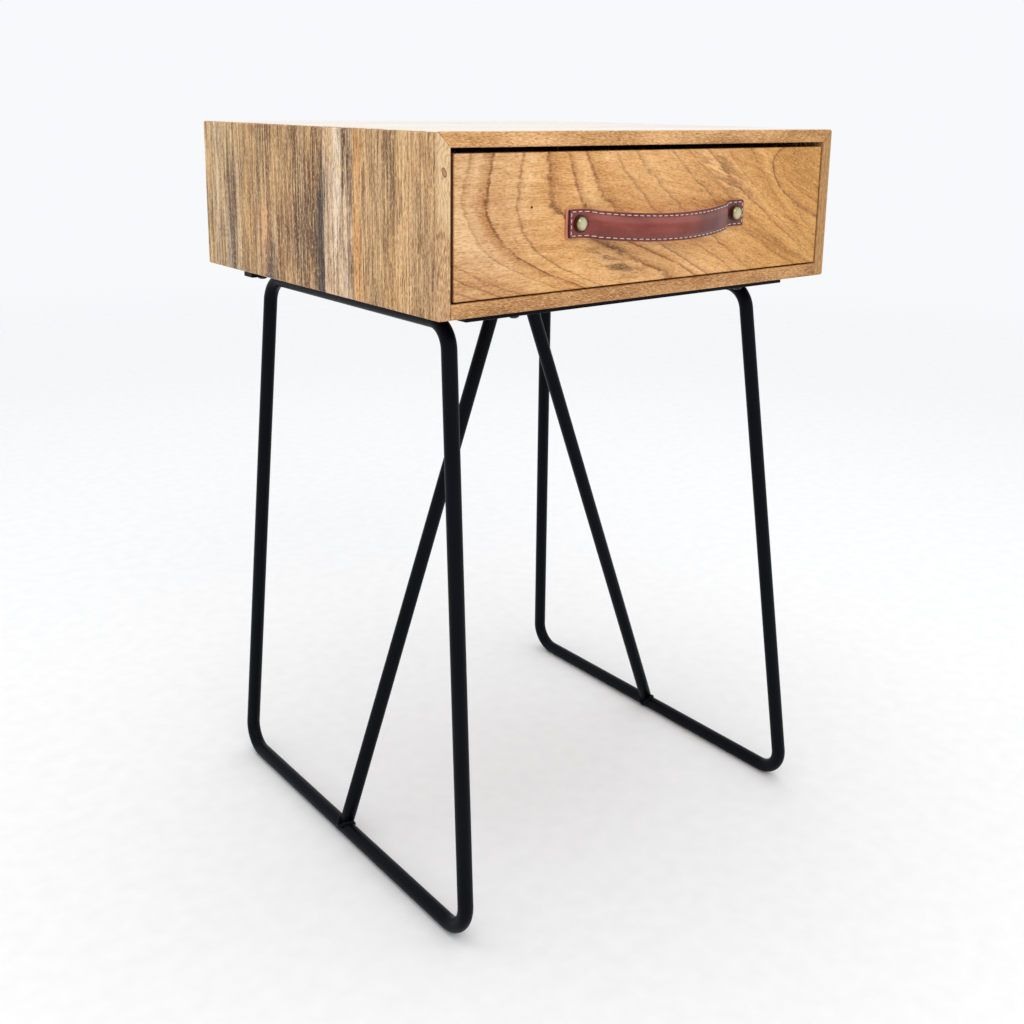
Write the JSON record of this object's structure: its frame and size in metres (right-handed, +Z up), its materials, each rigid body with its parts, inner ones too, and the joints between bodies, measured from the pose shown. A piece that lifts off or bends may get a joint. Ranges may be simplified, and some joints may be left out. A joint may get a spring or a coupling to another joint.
{
  "type": "side table with drawer",
  "caption": "Rectangular wooden case with an inset drawer and leather strap pull, on a bent steel rod base with raked end loops and inclined braces.",
  "frame": {"origin": "centre of the footprint of the whole table with the drawer shut, on the floor", "axes": "+Z up, -Y towards the drawer front, X left to right seen from behind the drawer front"},
  "size_m": [0.406, 0.3738, 0.6005],
  "materials": {
    "case_top": "satin, sawn and oiled",
    "case_left_side": "satin, oiled",
    "case_right_side": "satin, oiled",
    "case_bottom": "satin, oiled",
    "case_back": "plain",
    "drawer_front": "satin, oiled",
    "drawer_left_side": "plain",
    "drawer_right_side": "plain",
    "drawer_back": "plain",
    "drawer_bottom": "plain",
    "handle_strap": "satin",
    "handle_backing": "matte",
    "handle_stud_left": "antique",
    "handle_stud_right": "antique",
    "handle_screw_left": "zinc plated",
    "handle_screw_right": "zinc plated",
    "left_leg_loop": "matte powder coat",
    "right_leg_loop": "matte powder coat",
    "left_brace": "matte powder coat",
    "right_brace": "matte powder coat",
    "front_crossbar": "matte powder coat",
    "rear_crossbar": "matte powder coat",
    "centre_crossbar": "matte powder coat",
    "left_side_bar": "matte powder coat",
    "right_side_bar": "matte powder coat",
    "base_screw_front_left": "blackened",
    "base_screw_front_right": "blackened",
    "base_screw_rear_left": "blackened",
    "base_screw_rear_right": "blackened"
  },
  "bodies": {
    "table": {"case_top": "case_top", "case_left_side": "case_left_side", "case_right_side": "case_right_side", "case_bottom": "case_bottom", "case_back": "case_back", "left_leg_loop": "left_leg_loop", "right_leg_loop": "right_leg_loop", "left_brace": "left_brace", "right_brace": "right_brace", "front_crossbar": "front_crossbar", "rear_crossbar": "rear_crossbar", "centre_crossbar": "centre_crossbar", "left_side_bar": "left_side_bar", "right_side_bar": "right_side_bar", "base_screw_front_left": "base_screw_front_left", "base_screw_front_right": "base_screw_front_right", "base_screw_rear_left": "base_screw_rear_left", "base_screw_rear_right": "base_screw_rear_right"},
    "drawer": {"drawer_front": "drawer_front", "drawer_left_side": "drawer_left_side", "drawer_right_side": "drawer_right_side", "drawer_back": "drawer_back", "drawer_bottom": "drawer_bottom", "handle_strap": "handle_strap", "handle_backing": "handle_backing", "handle_stud_left": "handle_stud_left", "handle_stud_right": "handle_stud_right", "handle_screw_left": "handle_screw_left", "handle_screw_right": "handle_screw_right"}
  },
  "joints": [
    {"name": "drawer_slide", "type": "slide", "parent": "table", "child": "drawer", "axis": [0, -1, 0], "range_m": [0, 0.24]}
  ]
}
